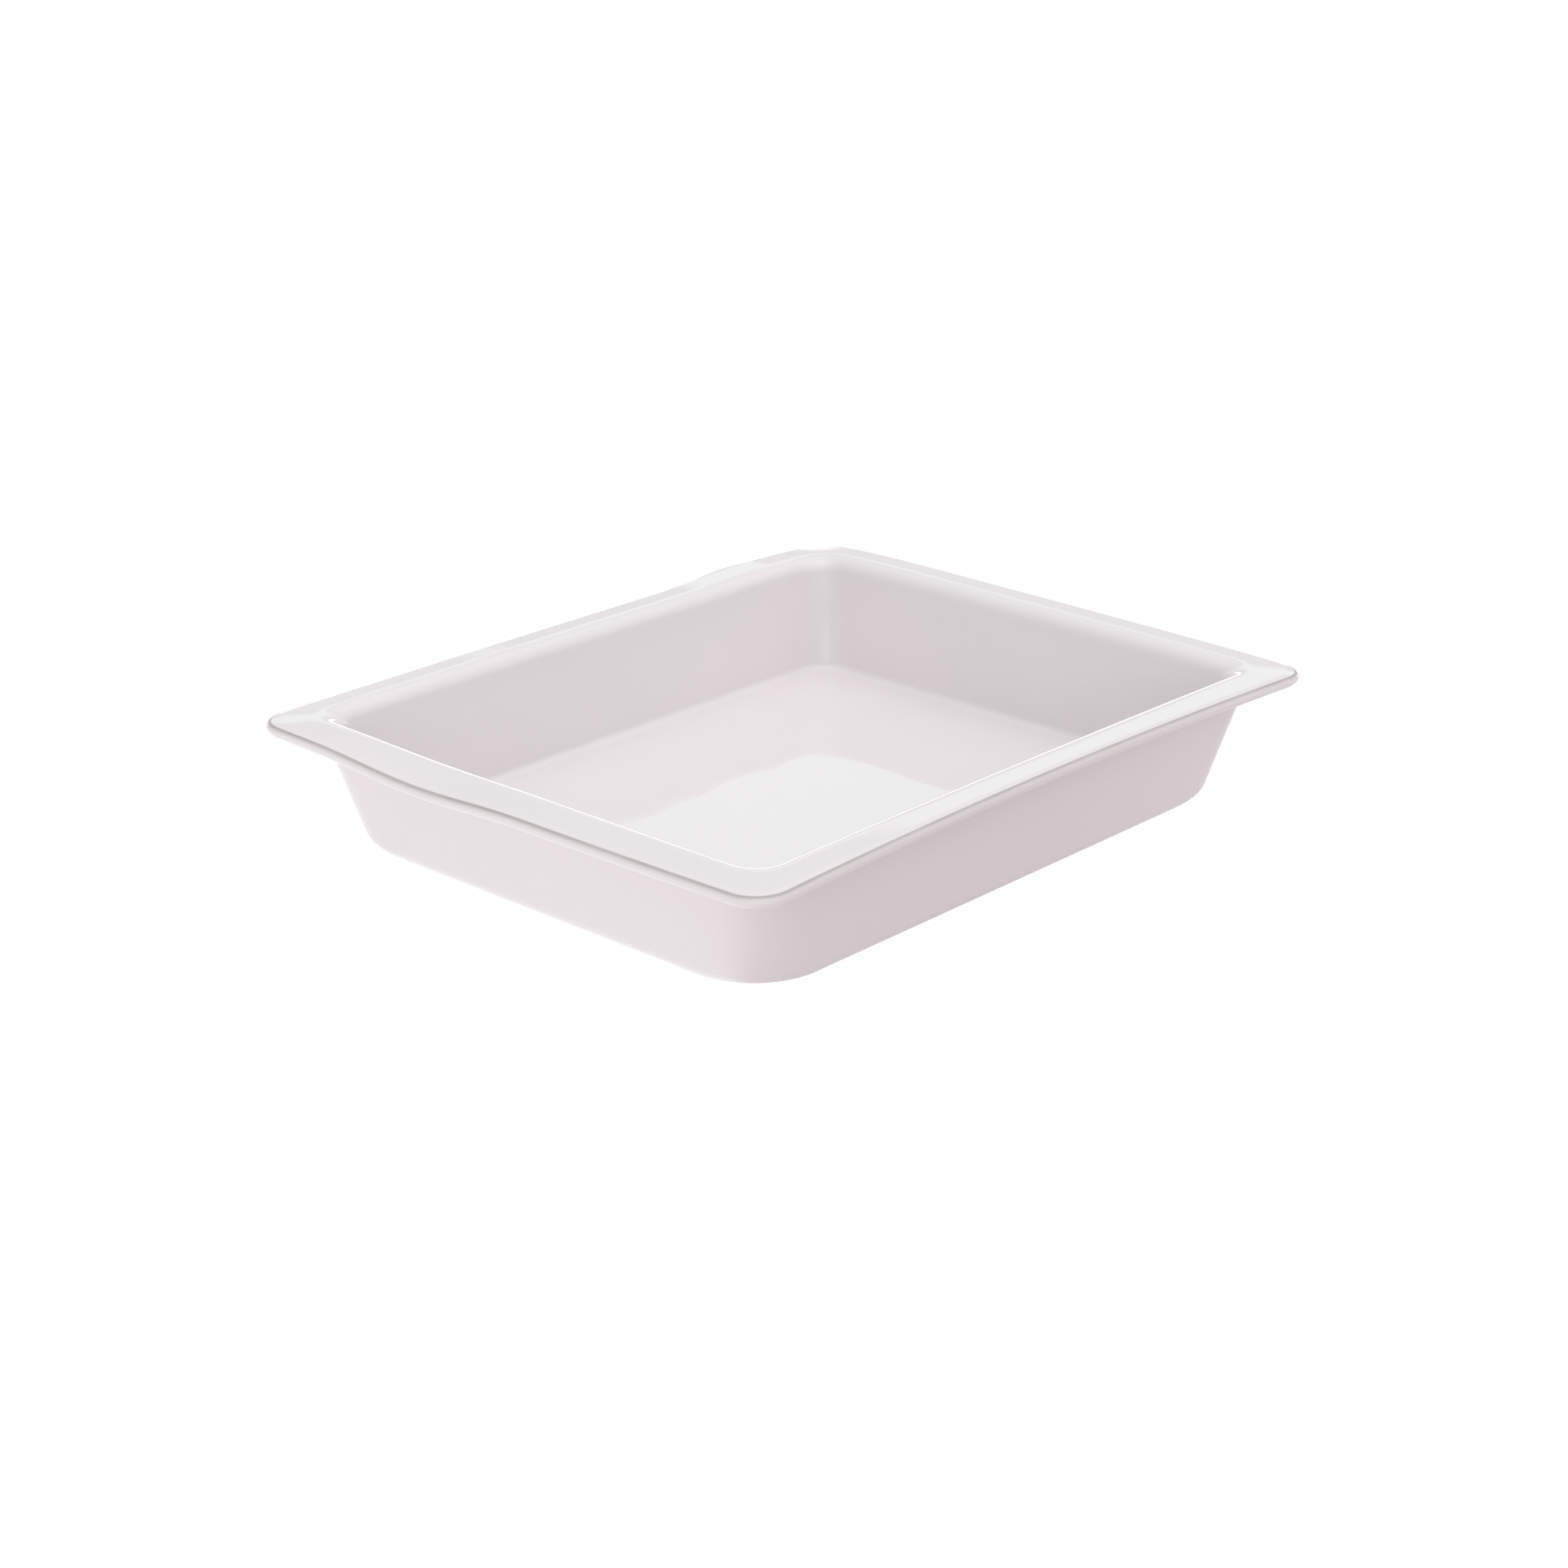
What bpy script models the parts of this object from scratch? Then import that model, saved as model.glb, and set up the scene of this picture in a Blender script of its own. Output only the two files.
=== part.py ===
"""Half-size gastronorm pan in white porcelain, glazed inside and out.

Metres, +Z up, +X along the long sides. The origin is the middle of the plane that the foot
ring stands on. The pan is one fired body under a coat of glaze: the coat runs from the floor
of the well over the rim to the underside, and stops where the potter wipes it off the foot
ring, so the pan can stand in the kiln. A second panel of glaze lies inside the ring.

Every skin of the pan follows one section, a list of levels from the floor of the well to the
foot. A level is a rounded rectangle at one height, and it knows which way its skin faces, so
the glaze and the body are the same section sunk by different depths.
"""
import math
from collections import namedtuple

import bmesh
import bpy

# Overall size of the glazed pan, its height up to the crest of the lip
LENGTH = 0.3238
WIDTH = 0.265
HEIGHT = 0.0545

# The well
LIP_ROUND = 0.007
LIP_CORNER = 0.013
WALL_DRAFT = math.radians(12)
WALL_THICKNESS = 0.0083
WALL_TOP_CORNER = 0.0115
WALL_FOOT_CORNER = 0.018
FLOOR_THICKNESS = 0.0066
FLOOR_FILLET = 0.0036

# The flange round the top, its width taken to the crest of the lip
FLANGE_WIDTH = 0.0145
FLANGE_THICKNESS = 0.0056
FLANGE_DROP = 0.0010
FLANGE_CORNER = 0.0133
FLANGE_FILLET = 0.003
CREST_BEND = 0.002
SHOULDER_START = 0.0042
SHOULDER_BEND = 0.0008
SHOULDER_SLOPE = math.radians(14)
EDGE_ROUND = 0.0019

# The underside and its bare foot ring
BASE_ROUND = 0.0076
BASE_CORNER = 0.032
FOOT_HEIGHT = 0.0020
FOOT_WIDTH = 0.0055
FOOT_SETBACK = 0.0030
FOOT_CHAMFER = 0.0006

# The coat of glaze
GLAZE_THICKNESS = 0.0004
GLAZE_CLEARANCE = 0.0003
GLAZE_STOP = 0.0008

# How firing moved the flange's outer edge, none of it at the corners
SIDE_RISE = 0.0020
SIDE_DRAW_IN = 0.0032
END_DROOP = 0.0010
END_BOW = 0.0009
END_WAVE = 0.0024
END_WAVE_CENTRE = 0.041
END_WAVE_REACH = 0.057
RIGHT_LIFT = 0.0020
RIGHT_LIFT_SKEW = 0.6
BACK_SWELL = 0.0019
BACK_SWELL_CENTRE = 0.108
BACK_SWELL_REACH = 0.060
LIP_SHARE = 0.25

# How finely the levels are cut
CORNER_STEPS = 6
SIDE_STEPS = 14
END_STEPS = 15
ROUND_STEPS = 4

COLLECTION = "ceramic_gastronorm_pan"
CLAY_WHITE = (0.80, 0.77, 0.73, 1.0)
GLAZE_WHITE = (0.86, 0.83, 0.84, 1.0)

# half sizes and corner radius of a rounded rectangle, its height, the way its skin faces in
# the section (outward and up) and how much of the firing movement it takes
Level = namedtuple("Level", "half_length half_width corner height out up share")


def clear_scene():
    """Remove every object, so the file holds the pan alone."""
    for item in list(bpy.data.objects):
        bpy.data.objects.remove(item, do_unlink=True)


def steps(first, last, count):
    """Evenly spaced values from first to last, both included."""
    return [first + (last - first) * index / count for index in range(count + 1)]


def blend(first, last, share):
    return first + (last - first) * share


# Heights and half sizes that the section is worked out from
FLANGE_TOP = HEIGHT - FLANGE_DROP
FLANGE_UNDERSIDE = FLANGE_TOP - FLANGE_THICKNESS
TOP_SLOPE = math.atan(FLANGE_DROP / (FLANGE_WIDTH - SHOULDER_START - CREST_BEND / 2))
FLOOR_LEVEL = FOOT_HEIGHT + FLOOR_THICKNESS
HALF_LENGTH = LENGTH / 2 - END_BOW
HALF_WIDTH = WIDTH / 2
LIP_HALF_LENGTH = HALF_LENGTH - FLANGE_WIDTH
LIP_HALF_WIDTH = HALF_WIDTH - FLANGE_WIDTH
LIP_CENTRE = HEIGHT - LIP_ROUND


def wall_run(height):
    """How far inside the lip's crest the well's drafted wall lies at a height."""
    tangent_height = LIP_CENTRE + LIP_ROUND * math.sin(WALL_DRAFT)
    return LIP_ROUND * math.cos(WALL_DRAFT) + (tangent_height - height) * math.tan(WALL_DRAFT)


def outer_wall_run(height):
    """The same for the outer wall, a wall's thickness away."""
    return wall_run(height) - WALL_THICKNESS / math.cos(WALL_DRAFT)


def wall_share(height):
    """Share of the firing movement that a wall takes: none at the floor, the lip's at the top."""
    return LIP_SHARE * min(max((height - FLOOR_LEVEL) / (HEIGHT - FLOOR_LEVEL), 0.0), 1.0)


def wall_corner(height):
    """Corner radius of the well's wall, which opens out towards the floor."""
    depth = (HEIGHT - height) / (HEIGHT - FLOOR_LEVEL)
    return blend(WALL_TOP_CORNER, WALL_FOOT_CORNER, depth)


def in_from_lip(run, corner, height, facing, share):
    """A level measured inwards from the lip's crest. facing is its skin's angle above outward."""
    return Level(
        LIP_HALF_LENGTH - run,
        LIP_HALF_WIDTH - run,
        corner,
        height,
        math.cos(facing),
        math.sin(facing),
        share,
    )


def in_from_edge(inset, height, facing):
    """A level on the flange, measured inwards from its outer edge."""
    reach = inset / FLANGE_WIDTH
    return Level(
        HALF_LENGTH - inset,
        HALF_WIDTH - inset,
        FLANGE_CORNER,
        height,
        math.cos(facing),
        math.sin(facing),
        blend(1.0, LIP_SHARE, min(reach, 1.0)),
    )


def between(first, last, part):
    """The level that lies part of the way from one level to another."""
    return Level(*(blend(a, b, part) for a, b in zip(first, last)))


def well_levels():
    """The floor's fillet, the drafted wall and the lip's inner half, from the floor up."""
    levels = []
    centre = FLOOR_LEVEL + FLOOR_FILLET
    foot_height = centre - FLOOR_FILLET * math.sin(WALL_DRAFT)
    centre_run = wall_run(foot_height) + FLOOR_FILLET * math.cos(WALL_DRAFT)
    for facing in steps(math.pi / 2, math.pi - WALL_DRAFT, ROUND_STEPS):
        run = centre_run + FLOOR_FILLET * math.cos(facing)
        height = centre - FLOOR_FILLET * math.sin(facing)
        levels.append(in_from_lip(run, wall_corner(height), height, facing, wall_share(height)))
    for facing in steps(math.pi - WALL_DRAFT, math.pi / 2, ROUND_STEPS):
        run = -LIP_ROUND * math.cos(facing)
        height = LIP_CENTRE + LIP_ROUND * math.sin(facing)
        corner = blend(LIP_CORNER, wall_corner(height), run / LIP_ROUND)
        levels.append(in_from_lip(run, corner, height, facing, wall_share(height)))
    return levels


def flange_levels():
    """From the lip's crest down the sloping top, over the shoulder and round the edge."""
    bend = HEIGHT - CREST_BEND * math.tan(TOP_SLOPE) / 2
    first = in_from_edge(FLANGE_WIDTH - CREST_BEND, bend, math.pi / 2 - TOP_SLOPE)
    last = in_from_edge(SHOULDER_START, FLANGE_TOP, math.pi / 2 - TOP_SLOPE)
    levels = [first, between(first, last, 0.5), last]
    facing = math.pi / 2 - SHOULDER_SLOPE
    inset = SHOULDER_START - SHOULDER_BEND
    height = FLANGE_TOP - SHOULDER_BEND * math.tan((TOP_SLOPE + SHOULDER_SLOPE) / 2)
    levels.append(in_from_edge(inset, height, facing))
    top = height - (inset - EDGE_ROUND * (1.0 - math.cos(facing))) * math.tan(SHOULDER_SLOPE)
    widest = top - EDGE_ROUND * math.sin(facing)
    for facing in steps(facing, 0.0, ROUND_STEPS):
        inset = EDGE_ROUND * (1.0 - math.cos(facing))
        levels.append(in_from_edge(inset, widest + EDGE_ROUND * math.sin(facing), facing))
    low_round = widest - FLANGE_UNDERSIDE
    for facing in steps(0.0, -math.pi / 2, ROUND_STEPS)[1:]:
        inset = low_round * (1.0 - math.cos(facing))
        levels.append(in_from_edge(inset, widest + low_round * math.sin(facing), facing))
    return levels


def outside_levels():
    """The fillet under the flange, the outer wall and the base's rounded edge, going down."""
    levels = []
    centre = FLANGE_UNDERSIDE - FLANGE_FILLET
    top = centre + FLANGE_FILLET * math.sin(WALL_DRAFT)
    centre_run = outer_wall_run(top) - FLANGE_FILLET * math.cos(WALL_DRAFT)
    for facing in steps(-math.pi / 2, -WALL_DRAFT, ROUND_STEPS - 1):
        run = centre_run + FLANGE_FILLET * math.cos(facing)
        height = centre - FLANGE_FILLET * math.sin(facing)
        corner = wall_corner(height) + WALL_THICKNESS
        levels.append(in_from_lip(run, corner, height, facing, wall_share(HEIGHT)))
    centre = FOOT_HEIGHT + BASE_ROUND
    foot = centre - BASE_ROUND * math.sin(WALL_DRAFT)
    centre_run = outer_wall_run(foot) + BASE_ROUND * math.cos(WALL_DRAFT)
    for index, facing in enumerate(steps(-WALL_DRAFT, -math.pi / 2, ROUND_STEPS)):
        run = centre_run - BASE_ROUND * math.cos(facing)
        height = centre + BASE_ROUND * math.sin(facing)
        corner = blend(wall_corner(foot) + WALL_THICKNESS, BASE_CORNER, index / ROUND_STEPS)
        levels.append(in_from_lip(run, corner, height, facing, wall_share(height)))
    return levels


def narrowed(level, inset, height):
    """A level further in on the underside, facing down, its corners drawn in with it."""
    return Level(
        level.half_length - inset,
        level.half_width - inset,
        level.corner - inset,
        height,
        0.0,
        -1.0,
        0.0,
    )


def sunk(level, depth):
    """The same level on a skin that lies a depth inside the glaze's surface."""
    return level._replace(
        half_length=level.half_length - depth * level.out,
        half_width=level.half_width - depth * level.out,
        corner=level.corner - depth * level.out,
        height=level.height - depth * level.up,
    )


def swell(place, centre, reach):
    """1 at the centre of a soft swell along an edge, falling to 0 at its reach."""
    return 0.5 * (1.0 + math.cos(math.pi * min(abs(place - centre) / reach, 1.0)))


def fired(x, y, level):
    """Where firing leaves a point of the rim, in metres.

    The sides are lifted and drawn in. The end toward -X droops in a wave, and the end toward
    +X is lifted with its lip. The side toward +Y swells up near the lifted end.
    """
    along = (x / level.half_length) ** 2
    across = (y / level.half_width) ** 2
    side = (1.0 - along) * across * level.share
    end = (1.0 - across) * along * level.share
    height = level.height + SIDE_RISE * side
    if x < 0.0:
        wave = swell(y, END_WAVE_CENTRE, END_WAVE_REACH) * along * level.share
        height -= END_DROOP * end + END_WAVE * wave
    else:
        skew = 1.0 + RIGHT_LIFT_SKEW * y / level.half_width
        lip_and_all = min(2.5 * level.share, 0.5 + 0.5 * level.share)
        height += RIGHT_LIFT * (1.0 - across**3) * along * skew * lip_and_all
    if y > 0.0:
        height += BACK_SWELL * swell(x, BACK_SWELL_CENTRE, BACK_SWELL_REACH) * across * level.share
    moved_x = x + math.copysign(END_BOW * end, x)
    moved_y = y - math.copysign(SIDE_DRAW_IN * side, y)
    return moved_x, moved_y, height


def outline(level):
    """Points of a rounded rectangle, anticlockwise from the right end's lower corner."""
    centre_x = level.half_length - level.corner
    centre_y = level.half_width - level.corner
    turns = ((1, -1), (1, 1), (-1, 1), (-1, -1))
    corners = []
    for index, (sign_x, sign_y) in enumerate(turns):
        start = math.pi / 2 * (index - 1)
        corners.append(
            [
                (
                    sign_x * centre_x + level.corner * math.cos(angle),
                    sign_y * centre_y + level.corner * math.sin(angle),
                )
                for angle in steps(start, start + math.pi / 2, CORNER_STEPS)
            ]
        )
    points = []
    for index, corner in enumerate(corners):
        points += corner
        count = END_STEPS if index % 2 == 0 else SIDE_STEPS
        start_x, start_y = corner[-1]
        end_x, end_y = corners[(index + 1) % len(corners)][0]
        for share in steps(0.0, 1.0, count)[1:-1]:
            points.append((blend(start_x, end_x, share), blend(start_y, end_y, share)))
    return points


def join_levels(mesh, first, second):
    """Loft faces between two rings, point to point round the pan."""
    for index in range(len(first)):
        mesh.faces.new((first[index - 1], first[index], second[index], second[index - 1]))


def lofted(name, levels, material, collection):
    """A closed solid through its levels, with the first and the last one filled flat."""
    mesh = bmesh.new()
    rings = []
    for level in levels:
        rings.append([mesh.verts.new(fired(x, y, level)) for x, y in outline(level)])
    for first, second in zip(rings, rings[1:]):
        join_levels(mesh, first, second)
    mesh.faces.new(rings[0])
    mesh.faces.new(rings[-1])
    bmesh.ops.recalc_face_normals(mesh, faces=mesh.faces[:])
    data = bpy.data.meshes.new(name)
    mesh.to_mesh(data)
    mesh.free()
    data.shade_smooth()
    data.set_sharp_from_angle(angle=math.radians(40))
    data.materials.append(material)
    piece = bpy.data.objects.new(name, data)
    collection.objects.link(piece)
    return piece


def finish(name, colour, roughness):
    """A plain material with the colour and gloss of one finish."""
    material = bpy.data.materials.new(name)
    material.use_nodes = True
    shader = material.node_tree.nodes["Principled BSDF"]
    shader.inputs["Base Color"].default_value = colour
    shader.inputs["Roughness"].default_value = roughness
    shader.inputs["Metallic"].default_value = 0.0
    material.diffuse_color = colour
    return material


def foot_levels(base, depth):
    """The bare ring under the body: down its outer side, across and up its inner side."""
    root = FOOT_HEIGHT + depth
    inner = FOOT_SETBACK + FOOT_WIDTH
    return [
        narrowed(base, FOOT_SETBACK, root),
        narrowed(base, FOOT_SETBACK, FOOT_CHAMFER),
        narrowed(base, FOOT_SETBACK + FOOT_CHAMFER, 0.0),
        narrowed(base, inner - FOOT_CHAMFER, 0.0),
        narrowed(base, inner, FOOT_CHAMFER),
        narrowed(base, inner, root),
    ]


def build_body(section, base, material, collection):
    """The fired clay, everything under the glaze, and the foot ring that it stands on."""
    depth = GLAZE_THICKNESS + GLAZE_CLEARANCE
    levels = [sunk(level, depth) for level in section] + foot_levels(base, depth)
    return lofted("pan_body", levels, material, collection)


def build_coat(section, base, material, collection):
    """The glaze from the well's floor over the rim to where it is wiped beside the foot."""
    stop = narrowed(base, FOOT_SETBACK - GLAZE_STOP, FOOT_HEIGHT)
    outer = section + [stop]
    inner = [sunk(level, GLAZE_THICKNESS) for level in reversed(outer)]
    return lofted("glaze_coat", outer + inner, material, collection)


def build_panel(base, material, collection):
    """The glaze left inside the foot ring."""
    inset = FOOT_SETBACK + FOOT_WIDTH + GLAZE_STOP
    lower = narrowed(base, inset, FOOT_HEIGHT)
    levels = [lower, sunk(lower, GLAZE_THICKNESS)]
    return lofted("underside_glaze", levels, material, collection)


def main():
    clear_scene()
    collection = bpy.data.collections.new(COLLECTION)
    bpy.context.scene.collection.children.link(collection)
    bare_clay = finish("bare_clay", CLAY_WHITE, 0.75)
    white_glaze = finish("white_glaze", GLAZE_WHITE, 0.08)
    flange, outside = flange_levels(), outside_levels()
    under_flange = [between(flange[-1], outside[0], part) for part in (0.35, 0.7)]
    section = well_levels() + flange + under_flange + outside
    base = section[-1]
    pieces = [
        build_body(section, base, bare_clay, collection),
        build_coat(section, base, white_glaze, collection),
        build_panel(base, white_glaze, collection),
    ]
    for piece in pieces:
        size = [round(side * 1000, 2) for side in piece.dimensions]
        print(piece.name, "size in mm", size, "faces", len(piece.data.polygons))


main()
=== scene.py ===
# %% [markdown]
# A white porcelain gastronorm pan
#
# The real pan is one body of porcelain under a coat of glaze: a deep well with sloping walls,
# a rounded lip, and a flange round the top that hangs on the rails of a serving counter.
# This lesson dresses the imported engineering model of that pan. The model is loaded first and
# never moved or changed, and finer meshes of the same sizes stand in for its three solids.

# %% Load the engineering model as a fixed frame
import math
from collections import namedtuple

import bpy
from mathutils import Matrix, Vector


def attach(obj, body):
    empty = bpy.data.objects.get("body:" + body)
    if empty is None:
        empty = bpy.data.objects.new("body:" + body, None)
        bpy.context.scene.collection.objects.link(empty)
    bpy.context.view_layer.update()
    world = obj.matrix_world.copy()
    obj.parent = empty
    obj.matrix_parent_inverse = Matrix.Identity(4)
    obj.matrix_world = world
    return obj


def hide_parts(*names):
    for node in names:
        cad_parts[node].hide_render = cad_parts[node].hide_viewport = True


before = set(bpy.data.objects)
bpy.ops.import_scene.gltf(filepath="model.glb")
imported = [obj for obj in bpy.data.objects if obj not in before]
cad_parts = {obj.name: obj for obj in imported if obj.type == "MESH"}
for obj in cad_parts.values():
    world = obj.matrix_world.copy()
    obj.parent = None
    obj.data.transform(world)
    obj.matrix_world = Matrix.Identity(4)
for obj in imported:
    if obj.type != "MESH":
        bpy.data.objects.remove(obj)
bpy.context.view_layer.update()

print("solids to dress:", sorted(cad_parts))

# %% [markdown]
# The camera
#
# The photograph looks across the pan from its front left corner, from a little above. The
# camera could be aimed with a Track To constraint, but a matrix of the three directions that
# it faces, and its place, say exactly the same view with nothing left to work out later.

# %% The photograph's point of view
LENS_MM = 71.246
SENSOR_MM = 36.0
CAMERA_PLACE = Vector((-0.84172, -0.76788, 0.45260))
CAMERA_BACK = Vector((-0.68759, -0.63157, 0.35825)).normalized()
CAMERA_RIGHT = Vector((0.67647, -0.73647, 0.0)).normalized()


def make_camera():
    """A camera whose columns are its right, up and back directions."""
    lens = bpy.data.cameras.new("photo_view")
    lens.lens = LENS_MM
    lens.sensor_width = SENSOR_MM
    camera = bpy.data.objects.new("photo_view", lens)
    bpy.context.scene.collection.objects.link(camera)
    up = CAMERA_BACK.cross(CAMERA_RIGHT)
    placed = Matrix((CAMERA_RIGHT, up, CAMERA_BACK)).transposed().to_4x4()
    placed.translation = CAMERA_PLACE
    camera.matrix_world = placed
    bpy.context.scene.camera = camera
    return camera


camera = make_camera()
print("camera at", [round(c, 3) for c in camera.location], "with a lens of", LENS_MM, "mm")

# %% [markdown]
# The section of the pan
#
# A potter shapes this pan with a template: one profile, swept round the rim. The mesh is made
# the same way. The profile is a list of levels, from the middle of the well over the lip and
# the flange to the foot. Each level is a rounded rectangle: its half sizes, the radius of its
# corners and its height. A level also knows which way its skin faces, outward and up, so a
# skin that lies deeper, such as the clay under its glaze, is the same list moved inwards.
# A stack of separate shapes joined by booleans would leave seams that no glazed pan has.

# %% A level and the helpers that space levels out
# shaded is how much painted shade a level carries, from 0 to 1
Level = namedtuple("Level", "half_length half_width corner height out up share thin")


def steps(first, last, count):
    """Evenly spaced values from first to last, both included."""
    return [first + (last - first) * index / count for index in range(count + 1)]


def blend(first, last, share):
    """The value a share of the way from first to last."""
    return first + (last - first) * share


print("a level holds", ", ".join(Level._fields))

# %% Sizes of the pan in metres
LENGTH = 0.3238
WIDTH = 0.265
HEIGHT = 0.0545
WALL_DRAFT = math.radians(12)
WALL_THICKNESS = 0.0083
WALL_TOP_CORNER = 0.0115
WALL_FOOT_CORNER = 0.018
FLOOR_THICKNESS = 0.0066
FOOT_HEIGHT = 0.0020
FLOOR_LEVEL = FOOT_HEIGHT + FLOOR_THICKNESS
END_BOW = 0.0009
HALF_LENGTH = LENGTH / 2 - END_BOW
HALF_WIDTH = WIDTH / 2
print("the well is", round((HEIGHT - FLOOR_LEVEL) * 1000, 1), "mm deep")

# %% The lip's crest, which the well is measured from
LIP_ROUND = 0.007
LIP_CORNER = 0.013
LIP_SHARE = 0.25
FLANGE_WIDTH = 0.0145
LIP_HALF_LENGTH = HALF_LENGTH - FLANGE_WIDTH
LIP_HALF_WIDTH = HALF_WIDTH - FLANGE_WIDTH
LIP_CENTRE = HEIGHT - LIP_ROUND


def in_from_lip(run, corner, height, facing, share):
    """A level measured inwards from the lip's crest. facing is its skin's angle above outward."""
    half_length, half_width = LIP_HALF_LENGTH - run, LIP_HALF_WIDTH - run
    out, up = math.cos(facing), math.sin(facing)
    return Level(half_length, half_width, corner, height, out, up, share, 0.0)


print("the lip's crest is", round(LIP_HALF_LENGTH * 2000, 1), "mm long")

# %% How the well's wall leans, turns its corners and follows the warped rim


def wall_run(height):
    """How far inside the lip's crest the drafted wall lies at a height."""
    tangent_height = LIP_CENTRE + LIP_ROUND * math.sin(WALL_DRAFT)
    return LIP_ROUND * math.cos(WALL_DRAFT) + (tangent_height - height) * math.tan(WALL_DRAFT)


def wall_share(height):
    """Share of the kiln's warp that a wall takes: none at the floor, the lip's at the top."""
    return LIP_SHARE * min(max((height - FLOOR_LEVEL) / (HEIGHT - FLOOR_LEVEL), 0.0), 1.0)


def wall_corner(height):
    """Corner radius of the wall, which opens out towards the floor."""
    return blend(WALL_TOP_CORNER, WALL_FOOT_CORNER, (HEIGHT - height) / (HEIGHT - FLOOR_LEVEL))


print("the wall leans in", round((wall_run(FLOOR_LEVEL) - wall_run(HEIGHT)) * 1000, 1), "mm")

# %% The well, from the flat floor up to the crest of the lip
FLOOR_FILLET = 0.0036
FLOOR_FILLET_STEPS = 12
FLOOR_RING = 0.002  # how far inside the fillet the floor's first ring lies
LIP_STEPS = 16
WALL_PARTS = (0.03, 0.12, 0.27, 0.42, 0.58, 0.73, 0.88, 0.97)


def well_levels():
    """Floor, fillet, wall and the lip's inner half, with extra rings beside each tangent."""
    levels = []
    centre = FLOOR_LEVEL + FLOOR_FILLET
    foot = centre - FLOOR_FILLET * math.sin(WALL_DRAFT)
    centre_run = wall_run(foot) + FLOOR_FILLET * math.cos(WALL_DRAFT)
    ring_run = centre_run + FLOOR_RING
    flat = in_from_lip(ring_run, WALL_FOOT_CORNER, FLOOR_LEVEL, math.pi / 2, 0.0)
    levels.append(flat)
    for facing in steps(math.pi / 2, math.pi - WALL_DRAFT, FLOOR_FILLET_STEPS):
        run = centre_run + FLOOR_FILLET * math.cos(facing)
        height = centre - FLOOR_FILLET * math.sin(facing)
        levels.append(in_from_lip(run, wall_corner(height), height, facing, wall_share(height)))
    top = LIP_CENTRE + LIP_ROUND * math.sin(WALL_DRAFT)
    for part in WALL_PARTS:
        height = blend(foot, top, part)
        facing = math.pi - WALL_DRAFT
        run = wall_run(height)
        levels.append(in_from_lip(run, wall_corner(height), height, facing, wall_share(height)))
    for facing in steps(math.pi - WALL_DRAFT, math.pi / 2, LIP_STEPS):
        run = -LIP_ROUND * math.cos(facing)
        height = LIP_CENTRE + LIP_ROUND * math.sin(facing)
        corner = blend(LIP_CORNER, wall_corner(height), run / LIP_ROUND)
        levels.append(in_from_lip(run, corner, height, facing, wall_share(height)))
    return levels


print("levels in the well:", len(well_levels()))

# %% The flange's sizes
FLANGE_THICKNESS = 0.0056
FLANGE_DROP = 0.0010
FLANGE_CORNER = 0.0133
FLANGE_TOP = HEIGHT - FLANGE_DROP
FLANGE_UNDERSIDE = FLANGE_TOP - FLANGE_THICKNESS
print("the flange's top lies", round(FLANGE_TOP * 1000, 1), "mm up")

# %% [markdown]
# Painted shade on the edge
#
# On the flange's upper edge a soft grey line runs right round the pan. It is painted shade,
# darkest where the edge's round faces between 56 and 68 degrees above outward. A mask painted
# by height would slide off the warped rim. So each level of the flange carries how much painted
# shade it takes, from 0 to 1, and the finish reads that number from the mesh.

# %% How much painted shade the flange's edge takes by the way it faces
EDGE_SHADE_BY_FACING = ((0, 0.0), (17, 0.12), (33, 0.35), (45, 0.7), (56, 1.0), (68, 1.0), (74, 0.8))
EDGE_SHADE_BY_FACING += ((76, 0.6), (77, 0.0))


def painted_edge_shade(facing):
    """How much painted shade the flange's skin takes where it faces this far above outward."""
    angle = math.degrees(facing)
    for (low, low_share), (high, high_share) in zip(EDGE_SHADE_BY_FACING, EDGE_SHADE_BY_FACING[1:]):
        if low <= angle <= high:
            return blend(low_share, high_share, (angle - low) / (high - low))
    return 0.0


def in_from_edge(inset, height, facing):
    """A level on the flange, measured inwards from its outer edge."""
    half_length, half_width = HALF_LENGTH - inset, HALF_WIDTH - inset
    out, up = math.cos(facing), math.sin(facing)
    share = blend(1.0, LIP_SHARE, min(inset / FLANGE_WIDTH, 1.0))
    return Level(half_length, half_width, FLANGE_CORNER, height, out, up, share, 0.0)


print("half way round the edge the glaze is", painted_edge_shade(math.radians(45)), "thin")

# %% The shoulder, where the flange's top starts to turn down to the edge
CREST_BEND = 0.002  # the strip beside the crest that takes up the top's slope
SHOULDER_START = 0.0042
SHOULDER_BEND = 0.0008
SHOULDER_SLOPE = math.radians(14)
EDGE_ROUND = 0.0019
TOP_SLOPE = math.atan(FLANGE_DROP / (FLANGE_WIDTH - SHOULDER_START - CREST_BEND / 2))


def between(first, last, part):
    """The level that lies part of the way from one level to another."""
    return Level(*(blend(a, b, part) for a, b in zip(first, last)))


print("the shoulder slopes", round(math.degrees(SHOULDER_SLOPE)), "degrees")

# %% From the lip's crest down the gentle slope of the flange's top
CREST_STEPS = 5
TOP_PARTS = (0.1, 0.3, 0.5, 0.7, 0.9, 1.0)


def top_levels():
    """A bend at the crest that takes up the slope, then the slope itself."""
    levels = []
    for part in steps(0.0, 1.0, CREST_STEPS)[1:]:
        drop = CREST_BEND * math.tan(TOP_SLOPE) * part * part / 2
        inset = FLANGE_WIDTH - CREST_BEND * part
        levels.append(in_from_edge(inset, HEIGHT - drop, math.pi / 2 - TOP_SLOPE * part))
    start = in_from_edge(SHOULDER_START, FLANGE_TOP, math.pi / 2 - TOP_SLOPE)
    return levels + [between(levels[-1], start, part) for part in TOP_PARTS]


print("levels from the crest to the shoulder:", len(top_levels()))

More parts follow.
